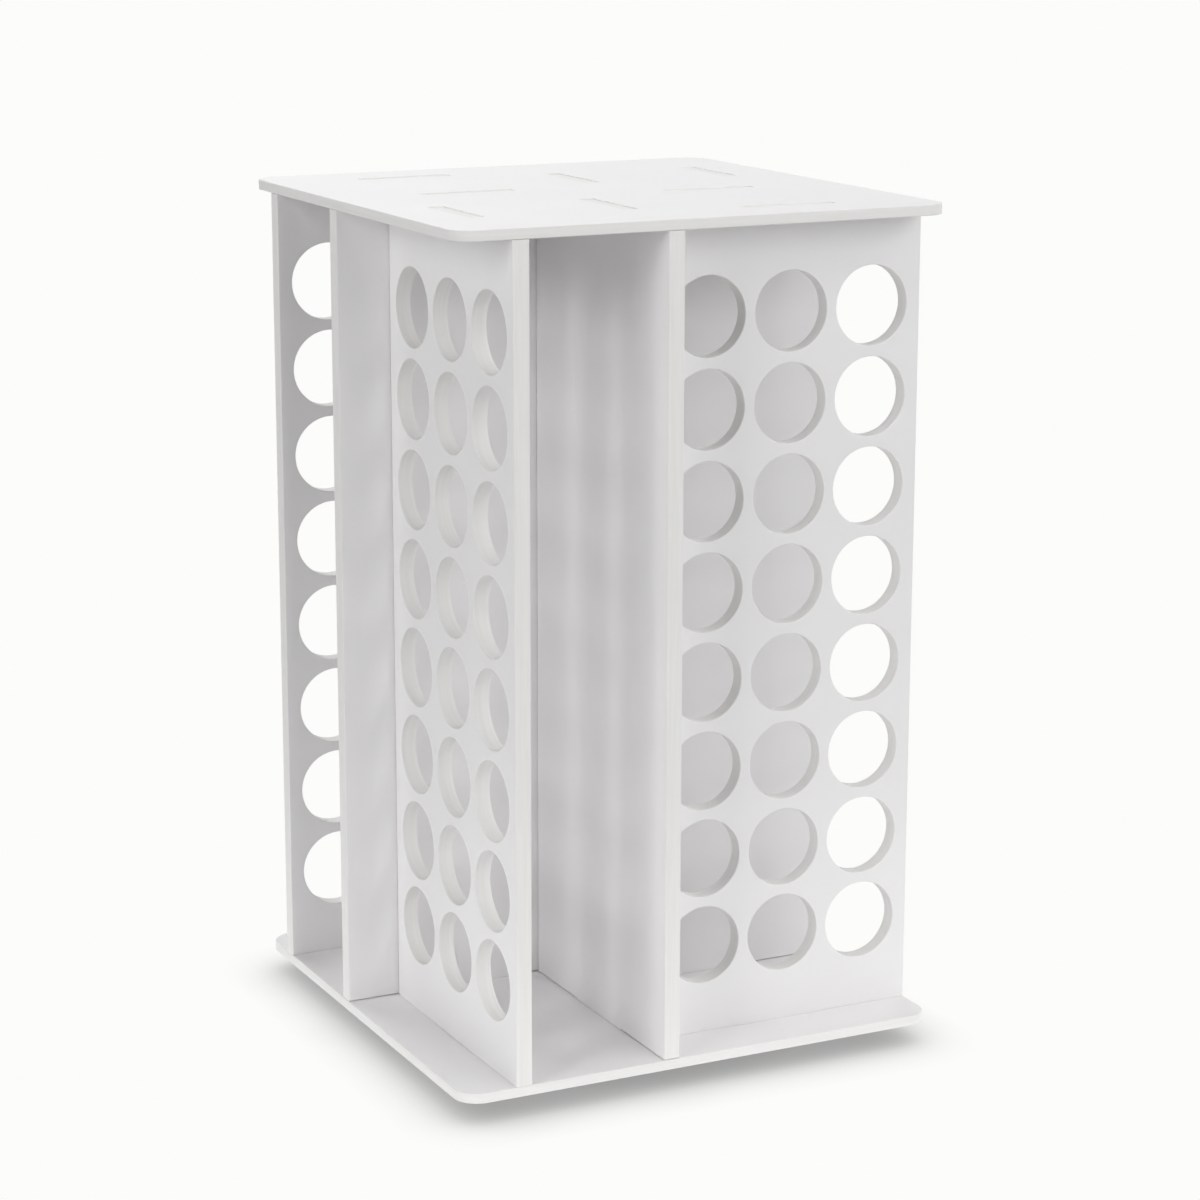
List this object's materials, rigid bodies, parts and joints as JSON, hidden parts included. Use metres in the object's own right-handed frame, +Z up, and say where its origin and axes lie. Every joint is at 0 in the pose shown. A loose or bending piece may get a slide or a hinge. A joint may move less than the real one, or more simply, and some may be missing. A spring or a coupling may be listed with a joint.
{
  "type": "tool storage caddy",
  "caption": "Square turning storage tower of white boards with grids of round holes and tall open bays between two plates, on a ball-bearing ring with rubber feet.",
  "frame": {"origin": "on the floor, under the middle of the tower, on the axis that it turns about", "axes": "+Z up along the turning axis, -Y out of the front side"},
  "size_m": [0.25, 0.25, 0.411],
  "materials": {
    "foam_board": "white foam board, satin skin, routed edges",
    "ring_aluminium": "turned aluminium, clear anodised",
    "cage_nylon": "natural nylon",
    "ball_steel": "polished steel",
    "screw_zinc": "zinc plated",
    "foot_rubber": "matt black rubber"
  },
  "bodies": {
    "stand": {"swivel_outer_ring": "ring_aluminium", "rubber_foot_1": "foot_rubber", "rubber_foot_2": "foot_rubber", "rubber_foot_3": "foot_rubber", "rubber_foot_4": "foot_rubber", "rubber_foot_5": "foot_rubber", "rubber_foot_6": "foot_rubber"},
    "tower": {"base_plate": "foam_board", "top_plate": "foam_board", "roll_panel_front": "foam_board", "divider_front": "foam_board", "roll_panel_right": "foam_board", "divider_right": "foam_board", "roll_panel_back": "foam_board", "divider_back": "foam_board", "roll_panel_left": "foam_board", "divider_left": "foam_board", "swivel_inner_ring": "ring_aluminium", "swivel_screw_1": "screw_zinc", "swivel_screw_2": "screw_zinc", "swivel_screw_3": "screw_zinc", "swivel_screw_4": "screw_zinc"},
    "ball_set": {"ball_cage": "cage_nylon", "bearing_balls": "ball_steel"}
  },
  "joints": [
    {"name": "tower_turn", "type": "hinge", "parent": "stand", "child": "tower", "pos_m": [0, 0, 0.0065], "axis": [0, 0, 1], "continuous": true},
    {"name": "ball_set_turn", "type": "hinge", "parent": "stand", "child": "ball_set", "pos_m": [0, 0, 0.0065], "axis": [0, 0, 1], "continuous": true}
  ],
  "couplings": [
    {"joint": "ball_set_turn", "follows": "tower_turn", "ratio": 0.485}
  ]
}
